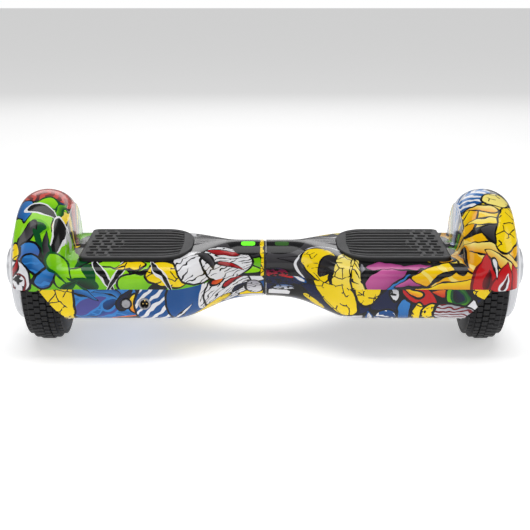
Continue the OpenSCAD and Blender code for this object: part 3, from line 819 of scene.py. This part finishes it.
# %% Sprayed patch group
def patch_group():
    tree = bpy.data.node_groups.new("sprayed_patch", "ShaderNodeTree")
    face = tree.interface
    for label, kind in (("Base", "Color"), ("Place", "Vector"), ("Centre", "Vector"), ("Half length", "Float"),
                        ("Half height", "Float"), ("Turn", "Float"), ("Bend", "Float"), ("Taper", "Float"),
                        ("Low fill", "Color"), ("High fill", "Color"), ("Edge", "Color"),
                        ("Edge width", "Float"), ("Marks", "Float"), ("Mark colour", "Color")):
        face.new_socket(label, in_out="INPUT", socket_type="NodeSocket" + kind)
    face.new_socket("Colour", in_out="OUTPUT", socket_type="NodeSocketColor")
    n = Nodes(tree)
    get = n.add("NodeGroupInput").outputs
    shifted = n.vector("SUBTRACT", get["Place"], get["Centre"])
    far = n.vector("LENGTH", shifted)
    turned = n.add("ShaderNodeVectorRotate", {"rotation_type": "Z_AXIS"}, Vector=shifted, Angle=get["Turn"])
    part = n.add("ShaderNodeSeparateXYZ", None, i0=turned.outputs[0])
    bow = n.math("MULTIPLY", part.outputs[0], part.outputs[0])
    bent = n.math("MULTIPLY_ADD", bow, get["Bend"], part.outputs[1])
    ahead = n.math("DIVIDE", part.outputs[0], get["Half length"])
    above = n.math("DIVIDE", bent, get["Half height"])
    swell = n.math("MULTIPLY_ADD", ahead, get["Taper"], 1.02)
    thinned = n.math("DIVIDE", above, swell)
    reach = n.vector("LENGTH", n.add("ShaderNodeCombineXYZ", None, X=ahead, Y=thinned).outputs[0])
    # Along the line from the centre, the edge lies at far / reach
    edge = n.math("COMPARE", n.math("DIVIDE", far, reach), far, get["Edge width"])
    inside = n.math("LESS_THAN", reach, 1.0)
    rise = n.math("MULTIPLY_ADD", thinned, 0.6, 0.5)
    fill = n.mix(rise, get["Low fill"], get["High fill"])
    marked = n.mix(get["Marks"], fill, get["Mark colour"])
    laid = n.mix(inside, get["Base"], marked)
    n.add("NodeGroupOutput", None, Colour=n.mix(edge, laid, get["Edge"]))
    return tree


PATCH = patch_group()

# %% Paint pots
BLACK = rgb(0.003, 0.003, 0.004)
DARK = rgb(0.022, 0.02, 0.024)
GREY = rgb(0.075, 0.072, 0.08)
WHITE = rgb(0.8, 0.8, 0.83)
SILVER = rgb(0.36, 0.35, 0.4)
LIME = rgb(0.14, 0.5, 0.0)
BRIGHT_LIME = rgb(0.32, 0.76, 0.01)
GREEN = rgb(0.0, 0.075, 0.015)
YELLOW = rgb(0.95, 0.68, 0.0)
PALE_YELLOW = rgb(0.92, 0.78, 0.2)
GOLD = rgb(0.82, 0.34, 0.0)
ORANGE = rgb(0.85, 0.17, 0.01)
RED = rgb(0.55, 0.008, 0.012)
MAROON = rgb(0.16, 0.004, 0.008)
SALMON = rgb(0.62, 0.08, 0.06)
BLUE = rgb(0.0, 0.07, 0.27)
SKY = rgb(0.03, 0.22, 0.6)
LILAC = rgb(0.07, 0.07, 0.3)
NAVY = rgb(0.003, 0.008, 0.05)
MAGENTA = rgb(0.3, 0.03, 0.18)
PINK = rgb(0.62, 0.12, 0.36)

# %% [markdown]
# A patch is written as: how far along, how far up, half length and half height (all in millimetres), turn in
# degrees, bend (or bend and taper) and its colour (or lower and upper colour). The edge colour follows where
# it is not black, and then the marks drawn over it, if any. The lists run from the first layer to the last.

# %% Layers of the left upper shell
LEFT_TOP = [
    (110, 90, 130, 60, 0, 0, (DARK, GREY)),
    (210, 100, 16, 70, 0, 0, (GREY, SILVER), MAGENTA),
    (242, 50, 42, 66, 0, 0, (LIME, BRIGHT_LIME), GREEN),
    (200, 105, 15, 62, 0, 0, (DARK, GREY)),
    (240, 128, 30, 22, 0, 0, (DARK, SALMON), "waves"),
    (264, 96, 22, 9, -80, (0, 0.4), (BLUE, SKY)),
    (230, 110, 9, 5, 40, (0, 0.7), (NAVY, BLUE)),
    (242, 105, 17, 9, 14, (0.5, -0.6), (LIME, BRIGHT_LIME), GREEN),
    (222, 86, 28, 5.5, 72, (0.4, 0.5), (YELLOW, PALE_YELLOW)),
    (225, 98, 20, 3.5, 80, (0, 0.6), (GREEN, LIME), GREEN),
    (242, 93, 20, 8, -22, (1.0, 0.75), BLACK, WHITE),
    (224, 56, 30, 6, -98, (0.5, 0.5), BLACK, WHITE),
    (246, 66, 10, 7.5, 60, (0, -0.5), GREEN, LIME),
    (250, 66, 5, 1.2, 88, (2, 0.5), WHITE, WHITE),
    (260, 52, 26, 5, -118, (0, 0.5), (DARK, GREY)),
    (236, 42, 20, 5, -84, (0, -0.7), (BLACK, GREY), GREEN),
    (244, 50, 16, 2, -70, (0, 0.5), GREEN, GREEN),
    (258, 36, 17, 12, 12, (0, -0.4), (LILAC, SKY)),
    (271, 40, 8, 11, 0, 0, YELLOW, "cracks"),
    (246, 22, 18, 8, -42, (0, 0.5), (BLUE, SKY), "swirls"),
    (234, 12, 17, 8, 34, (0, 0.6), (BLUE, SKY), "swirls"),
    (265, 13, 11, 20, 26, 0.6, WHITE),
    (266, 2, 9, 10, 10, 0, WHITE, MAROON, "splash"),
    (270, 20, 15, 3.5, 70, (0, 0.6), (MAROON, RED)),
    (182, 8, 46, 15, 0, 0, (LIME, BRIGHT_LIME)),
    (220, 20, 20, 9, -50, (0, 0.6), (LIME, BRIGHT_LIME), GREEN),
    (196, 4, 17, 5, -24, (0, -0.8), (BLACK, GREEN), GREEN),
    (186, 12, 13, 3.5, -66, (1.5, 0.6), GREEN, GREEN),
    (210, 2, 10, 4, 30, (0, 0.7), (GREEN, BLACK), GREEN),
    (172, 10, 24, 4, -57, (0.4, 0.3), BLACK, WHITE),
    (160, 9, 20, 3.5, -118, (0.6, 0.4), BLACK, WHITE),
    (134, 5, 24, 11, 14, (0, 0.5), (LIME, BRIGHT_LIME)),
    (146, 23, 17, 4, 6, (0, -0.5), YELLOW, "cracks"),
    (100, 12, 27, 14, -12, (0, 0.3), YELLOW, "cracks"),
    (112, 11, 22, 2.8, -58, (0, 0.2), BLACK, WHITE),
    (76, 26, 22, 30, 20, 0, WHITE, "strokes"),
    (42, 34, 28, 46, 0, 0, WHITE, "strokes"),
    (40, 60, 24, 8, 24, (-1.2, 0.4), (MAROON, RED)),
    (34, 50, 20, 4, 22, (-1.0, 0.5), WHITE),
    (62, 36, 18, 5, -62, (1.6, 0.7), (BLACK, GREY)),
    (36, 22, 20, 4.5, -34, (0.8, 0.8), (MAROON, RED)),
    (18, 120, 26, 60, 0, 0, BLACK),
    (2.8, 50, 2.4, 240, 0, 0, YELLOW, "cracks"),
]

# %% Layers of the left lower shell
LEFT_LOW = [
    (180, -20, 44, 50, 0, 0, (BLUE, SKY), "swirls"),
    (190, -20, 20, 8, 26, (0.8, 0.6), LILAC, SKY),
    (172, -30, 17, 5, 30, (0, -0.6), (LILAC, BLUE), SKY),
    (186, -42, 22, 4, -8, (0, 0.7), (BLUE, SKY)),
    (198, -6, 20, 4, -24, (0.8, 0.7), (BLUE, SKY)),
    (166, -8, 20, 3.5, -14, (1.0, -0.7), (SKY, BLUE)),
    (164, -20, 13, 5, 20, (0, 0.8), (NAVY, BLUE), SKY),
    (150, -42, 17, 5, 0, (0, -0.5), (NAVY, BLACK), ORANGE),
    (150, -14, 14, 5, 60, (0, 0.6), (BLACK, NAVY)),
    (139, -19, 7, 12, 0, 0, (ORANGE, YELLOW)),
    (110, -25, 30, 42, 0, 0, BLUE, "zebra"),
    (84, -20, 22, 36, 10, 0, BLUE),
    (90, -34, 15, 2, 36, (0, 0.7), WHITE),
    (62, -12, 8, 34, -8, 0, WHITE, WHITE, "strokes"),
    (40, -30, 26, 44, 0, 0, WHITE, "strokes"),
    (50, -4, 12, 6, 60, (0, 0.7), (ORANGE, RED)),
    (36, -16, 16, 4, 40, (1.4, 0.7), (MAROON, RED)),
    (74, -66, 38, 16, 12, 0, YELLOW, "cracks"),
    (28, -40, 17, 4.5, 60, (1, 0.7), (BLACK, NAVY)),
    (12, -46, 10, 24, 0, 0, (WHITE, SILVER), "strokes"),
    (234, -20, 28, 60, 0, 0, YELLOW, "cracks"),
]

# %% Layers of the right upper shell
RIGHT_TOP = [
    (110, 90, 130, 60, 0, 0, (DARK, GREY)),
    (210, 100, 16, 70, 0, 0, (GREY, SILVER), GREEN),
    (22, 35, 26, 50, 0, 0, (BLACK, GREY)),
    (30, 44, 16, 8, 10, (0, 0.6), (DARK, GREY)),
    (62, 30, 28, 46, 0, 0, (DARK, GREY), WHITE),
    (60, 32, 20, 38, -16, 0, YELLOW, "cracks"),
    (67, 24, 18, 7.5, -70, (0, 0.5), (BLACK, DARK)),
    (86, 16, 15, 32, 10, 0, (YELLOW, PALE_YELLOW), "cracks"),
    (99, 10, 22, 6, 84, (0, 0.5), (YELLOW, PALE_YELLOW), "strokes"),
    (108, 8, 20, 3, 76, 0, (GREY, SILVER)),
    (150, 10, 46, 20, 0, 0, (DARK, BLACK)),
    (132, 8, 26, 13, -28, (-0.6, -0.4), (MAGENTA, PINK)),
    (150, 22, 42, 3.5, 0, (0, -0.5), (PINK, MAGENTA)),
    (144, 2, 18, 4, -34, (-0.6, 0.5), (BLUE, SKY)),
    (158, 6, 20, 6, -30, (-0.6, 0.6), (MAGENTA, PINK)),
    (206, 14, 50, 16, -4, (0, 0.5), (GOLD, YELLOW), "glow"),
    (186, 10, 20, 2.5, -26, (0, 0.6), (BLACK, DARK)),
    (196, 0, 36, 5, -4, (0, 0.5), (GOLD, YELLOW)),
    (240, 60, 38, 50, 0, 0, (GOLD, YELLOW), "glow"),
    (224, 84, 24, 8, -62, (0, -0.4), (GOLD, YELLOW)),
    (236, 96, 19, 5, 24, (0, 0.5), (GOLD, PALE_YELLOW)),
    (224, 64, 15, 3, -14, (0, 0.7), (BLACK, DARK)),
    (238, 76, 18, 4.5, 8, (0, 0.4), (YELLOW, PALE_YELLOW)),
    (247, 60, 18, 10, 24, (0, 0.6), (DARK, GREY)),
    (240, 42, 38, 7, 20, (0.5, 0.3), (GOLD, PALE_YELLOW)),
    (218, 34, 16, 4, -100, (0, 0.6), (BLACK, DARK), GOLD),
    (253, 28, 20, 6, 40, (0, 0.6), (GOLD, PALE_YELLOW)),
    (208, 22, 10, 5, 30, (0, 0.7), (DARK, BLACK)),
    (266, 74, 15, 38, 14, 0, YELLOW, "cracks"),
    (200, 105, 15, 62, 0, 0, (DARK, GREY)),
    (230, 126, 22, 24, 0, 0, (BLUE, SKY), "zebra"),
    (255, 112, 16, 14, -20, 0, PALE_YELLOW, "cracks"),
    (211, 90, 17, 5, -98, (0, -0.5), (LIME, GREEN)),
    (237, 12, 24, 12, -84, (0, -0.7), RED, MAROON),
    (239, 8, 10, 3.5, -84, (0, -0.6), (BLACK, MAROON), MAROON),
    (256, 7, 20, 10, -76, (0, -0.7), RED, MAROON),
    (257, 3, 9, 3, -76, (0, -0.6), (BLACK, MAROON), WHITE),
    (270, 8, 17, 5, -100, (0, -0.6), RED, MAROON),
    (247, 20, 10, 2.2, -100, (0, 0.6), WHITE),
    (18, 120, 26, 55, 0, 0, BLACK),
    (12, 0, 16, 16, 0, 0, (RED, NAVY), "splash"),
]

# %% Layers of the right lower shell
RIGHT_LOW = [
    (20, -10, 26, 26, 0, 0, NAVY, "splash"),
    (18, -3, 16, 5, 30, (0.8, 0.6), RED),
    (36, -8, 13, 4, 50, (0, 0.5), WHITE, BLUE),
    (20, -45, 14, 10, 0, 0, (WHITE, BLUE), "splash"),
    (54, -55, 13, 10, -10, 0, YELLOW, "cracks"),
    (76, -16, 28, 19, 44, (0, 0.2), YELLOW, "cracks"),
    (110, -2, 14, 19, 0, 0, YELLOW, "cracks"),
    (96, -44, 15, 8, -50, (0, -0.6), (SILVER, WHITE)),
    (113, -42, 14, 4.5, 84, (0, 0.4), (SILVER, WHITE), BLUE),
    (130, -40, 12, 12, 0, 0, (NAVY, BLUE), "strokes_white"),
    (140, -8, 6, 10, 0, 0, (WHITE, SILVER), "strokes"),
    (150, -32, 8, 17, 0, 0, (BLUE, SKY)),
    (168, -10, 20, 12, 24, (0, -0.4), RED),
    (160, -8, 9, 4.5, 20, (0, 0.6), (ORANGE, YELLOW)),
    (166, -34, 7, 15, 0, 0, YELLOW, "cracks"),
    (182, -34, 13, 15, 0, 0, YELLOW, "splash"),
    (190, -7, 12, 4, 16, (0, 0.7), (RED, ORANGE)),
    (208, -10, 14, 12, 70, (0, 0.5), (LIME, GREEN)),
    (208, -11, 8, 6, 70, (0, 0.5), (BLACK, NAVY), GREEN),
    (210, -36, 28, 14, 8, (-0.8, -0.4), (WHITE, SILVER), "zebra_dark"),
    (238, -4, 16, 10, 12, 0, YELLOW, "cracks"),
    (240, -22, 8, 8, 0, 0, (BLACK, DARK)),
]

# %% The film itself
def drawn_marks(n, place):
    """The marks that a patch can carry, each a mask from 0 to 1."""
    def net(scale, width, seed):
        moved = n.vector("ADD", place, (seed, seed * 0.7, 0))
        cell = n.add("ShaderNodeTexVoronoi", {"feature": "DISTANCE_TO_EDGE", "voronoi_dimensions": "2D"},
                     Vector=moved, Scale=scale)
        return n.math("LESS_THAN", cell.outputs[0], width)

    def patchy(scale, level, seed):
        moved = n.vector("ADD", place, (seed, 3.1, 0))
        cloud = n.add("ShaderNodeTexNoise", {"noise_dimensions": "2D"}, Vector=moved, Scale=scale, Detail=2.0)
        return n.math("GREATER_THAN", cloud.outputs[0], level)

    def bands(scale, level, distortion, direction="DIAGONAL"):
        wave = n.add("ShaderNodeTexWave", {"bands_direction": direction}, Vector=place, Scale=scale,
                     Distortion=distortion, Detail=1.5, Detail_Scale=1.2)
        return n.math("GREATER_THAN", wave.outputs[1], level)

    strokes = n.math("MULTIPLY", bands(6.5, 0.86, 7.0), patchy(5.0, 0.42, 8.0))
    return {
        "": 0.0,
        "cracks": n.math("MULTIPLY", net(9.0, 0.055, 1.3), patchy(6.0, 0.48, 2.0)),
        "splash": patchy(16.0, 0.54, 5.0),
        "strokes": strokes,
        "strokes_white": strokes,
        "zebra": bands(5.0, 0.62, 3.2),
        "zebra_dark": bands(6.0, 0.6, 6.0, "Y"),
        "waves": bands(3.4, 0.55, 9.0, "X"),
        "swirls": bands(3.2, 0.84, 8.0, "Y"),
        "glow": n.math("MULTIPLY", bands(2.2, 0.8, 5.0), 0.7),
    }


# Marks are black where they are not listed here
MARK_COLOURS = {"strokes_white": WHITE, "zebra": WHITE, "zebra_dark": MAROON, "waves": SALMON,
                "swirls": SKY, "glow": PALE_YELLOW}


def printed_film(name, layers, side, level, ground):
    """A glossy printed shell; side is 1 on the right, level is 1 on the upper shell."""
    material, n, shader, place = new_material(name)
    at = n.add("ShaderNodeSeparateXYZ", None, i0=place)
    along = n.math("MULTIPLY", at.outputs[0], 10.0 * side)
    up = n.math("SUBTRACT", at.outputs[2], AXLE_Z * MM)
    angle = n.math("ARCTAN2", n.math("MULTIPLY", up, level), n.math("ABSOLUTE", at.outputs[1]))
    # On the rear half the angle folds back, so front and rear carry the same layout
    height = n.math("MULTIPLY", angle, 0.88 * level)
    flat = n.add("ShaderNodeCombineXYZ", None, X=along, Y=height).outputs[0]
    wobble = n.add("ShaderNodeTexNoise", None, Vector=place, Scale=38.0, Detail=2.0).outputs[1]
    shake = n.vector("MULTIPLY", n.vector("SUBTRACT", wobble, (0.5, 0.5, 0.5)), (0.11, 0.13, 0.0))
    hand = n.vector("ADD", flat, shake)
    marks = drawn_marks(n, hand)
    cells = n.add("ShaderNodeTexVoronoi", {"voronoi_dimensions": "2D"}, Vector=hand, Scale=3.6)
    chance = n.add("ShaderNodeSeparateColor", None, i0=cells.outputs[1]).outputs[0]
    ramp = n.add("ShaderNodeValToRGB", None, Fac=chance)
    ramp.color_ramp.interpolation = "CONSTANT"
    stops = ramp.color_ramp.elements
    stops[0].color, stops[1].color = ground[0], ground[1]
    stops[1].position = 1 / len(ground)
    for i, colour in enumerate(ground[2:], 2):
        stops.new(i / len(ground)).color = colour
    lines = n.add("ShaderNodeTexVoronoi", {"feature": "DISTANCE_TO_EDGE", "voronoi_dimensions": "2D"},
                  Vector=hand, Scale=3.6)
    colour = n.mix(n.math("LESS_THAN", lines.outputs[0], 0.05), ramp.outputs[0], BLACK)
    for u, v, half_u, half_v, turn, shape, fill, *extra in layers:
        bend, taper = shape if isinstance(shape, tuple) else (shape, 0)
        low, high = fill if len(fill) == 2 else (fill, fill)
        kind = extra.pop() if extra and isinstance(extra[-1], str) else ""
        edge = extra[0] if extra else BLACK
        colour = n.add("ShaderNodeGroup", {"node_tree": PATCH}, Base=colour, Place=hand,
                       Centre=(u / 100, v / 100, 0), Half_length=half_u / 100, Half_height=half_v / 100,
                       Turn=math.radians(turn), Bend=bend, Taper=taper, Low_fill=low, High_fill=high,
                       Edge=edge, Edge_width=0.013, Marks=marks[kind],
                       Mark_colour=MARK_COLOURS.get(kind, BLACK)).outputs[0]
    dust = n.add("ShaderNodeTexNoise", None, Vector=place, Scale=60.0, Detail=5.0).outputs[0]
    peel = n.add("ShaderNodeTexNoise", None, Vector=place, Scale=420.0, Detail=1.0).outputs[0]
    dent = n.add("ShaderNodeBump", None, Height=peel, Strength=0.04, Distance=0.0004)
    n.fill(shader, Base_Color=colour, Roughness=n.math("MULTIPLY_ADD", dust, 0.1, 0.12),
           Specular_IOR_Level=0.25, Coat_Weight=0.22, Coat_Roughness=0.05, Normal=dent.outputs[0])
    print(name, "layers:", len(layers))
    return material


FILMS = {
    "left_top": printed_film("left_upper_print", LEFT_TOP, -1, 1, [LIME, GREEN, BLACK, BRIGHT_LIME]),
    "left_low": printed_film("left_lower_print", LEFT_LOW, -1, -1, [BLUE, NAVY, WHITE, YELLOW, SKY]),
    "right_top": printed_film("right_upper_print", RIGHT_TOP, 1, 1, [DARK, GOLD, BLACK, YELLOW]),
    "right_low": printed_film("right_lower_print", RIGHT_LOW, 1, -1, [NAVY, BLACK, BLACK, WHITE, NAVY]),
}

# %% [markdown]
# ## Finishes onto pieces
# Every piece takes its finish here, rides on the body that carries it, and stands for the plain node that
# it replaces. The nodes that are not replaced keep their shape and only take a finish.

# %% Put it together
def finish_piece(obj, body, replaced, slot, film=None):
    obj.data.materials.clear()
    obj.data.materials.append(film or FINISHES[slot])
    obj.data.polygons.foreach_set("material_index", [0] * len(obj.data.polygons))
    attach(obj, body)
    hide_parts(replaced)


PIECES = []
for side, top, low, tyre, hub, mat, lamp_piece in (
        ("left", left_top, left_low, left_tyre, left_hub, left_mat, left_lamp),
        ("right", right_top, right_low, right_tyre, right_hub, right_mat, right_lamp)):
    PIECES += [
        (top, side + "_half", side + "_top_shell", "top_print", FILMS[side + "_top"]),
        (low, side + "_half", side + "_bottom_shell", "lower_print", FILMS[side + "_low"]),
        (tyre, side + "_wheel", side + "_tyre", "tyre_rubber"),
        (hub, side + "_wheel", side + "_rim", "hub_metal"),
        (mat, side + "_mat", side + "_foot_mat", "mat_rubber"),
        (lamp_piece, side + "_half", side + "_headlight", "lamp_lens"),
    ]
PIECES += [
    (left_window, "left_half", "left_indicator_window", "green_window"),
    (right_window, "right_half", "right_indicator_window", "dim_window"),
    (cap, "power_button", "power_button", "switch_metal"),
    (bezel, "left_half", "power_switch", "switch_body"),
    (ring, "left_half", "charging_socket", "switch_metal"),
]
for piece in PIECES:
    finish_piece(*piece)
replaced = {piece[2] for piece in PIECES}
slot_of = {row["node"]: row["material_slot"] for row in frame["record"]["subparts"]}
for name, obj in nodes.items():
    if name not in replaced:
        obj.data.materials.clear()
        obj.data.materials.append(FINISHES[slot_of[name]])
print("pieces:", len(PIECES), "kept nodes:", len(nodes) - len(replaced))

# %% [markdown]
# ## Floor, light and camera
# A white room with one large soft light overhead, one in front, one behind and one at each side gives the
# shells long soft reflections and keeps the shadows pale.

# %% Stage
floor = prism("floor", [(-6000, -6000), (6000, -6000), (6000, 6000), (-6000, 6000)], -20, 0, 2)
white_sheet, n, sheet = plain("pale_floor", rgb(0.86, 0.86, 0.86), 0.7, 0, 60, 0.02, shade=0.02)
# The sheet glows a little, as a lit table does, so it stays white far from the lamps
n.fill(sheet, Emission_Color=(1, 1, 1, 1), Emission_Strength=0.45)
floor.data.materials.append(white_sheet)


def soft_light(name, place, aim, width, depth, power):
    data = bpy.data.lights.new(name, "AREA")
    data.shape = "RECTANGLE"
    data.size, data.size_y, data.energy = width, depth, power
    lamp_obj = bpy.data.objects.new(name, data)
    bpy.context.scene.collection.objects.link(lamp_obj)
    lamp_obj.location = place
    lamp_obj.rotation_euler = (Vector(aim) - Vector(place)).to_track_quat("-Z", "Y").to_euler()


CENTRE = Vector((0, 0, AXLE_Z * MM))
soft_light("overhead", (0, 0.1, 1.5), CENTRE, 2.2, 0.9, 17)
soft_light("front", (0.2, -1.9, 0.9), CENTRE, 2.4, 0.8, 6)
soft_light("left_side", (-1.6, -0.3, 0.7), CENTRE, 0.8, 1.0, 4.5)
soft_light("right_side", (1.6, -0.3, 0.7), CENTRE, 0.8, 1.0, 4.5)
soft_light("rear", (0, 1.9, 0.8), CENTRE, 2.0, 0.6, 5)
world = bpy.data.worlds.new("white_room")
world.use_nodes = True
sky = Nodes(world.node_tree)
seen = sky.add("ShaderNodeLightPath").outputs["Is Camera Ray"]
sky.fill(world.node_tree.nodes["Background"], i0=(1, 1, 1, 1), i1=sky.math("MULTIPLY_ADD", seen, 0.8, 0.2))
bpy.context.scene.world = world
bpy.context.scene.view_settings.view_transform = "Standard"

# %% Camera
ELEVATION = math.radians(15)
DISTANCE = 1.445
data = bpy.data.cameras.new("camera")
data.sensor_width = 36
data.angle = math.radians(23.63)
camera = bpy.data.objects.new("camera", data)
bpy.context.scene.collection.objects.link(camera)
aim = CENTRE + Vector((0, 0, 0.0011))
camera.location = aim + DISTANCE * Vector((0, -math.cos(ELEVATION), math.sin(ELEVATION)))
camera.rotation_euler = (aim - camera.location).to_track_quat("-Z", "Y").to_euler()
bpy.context.scene.camera = camera
print("camera at", [round(c, 3) for c in camera.location])
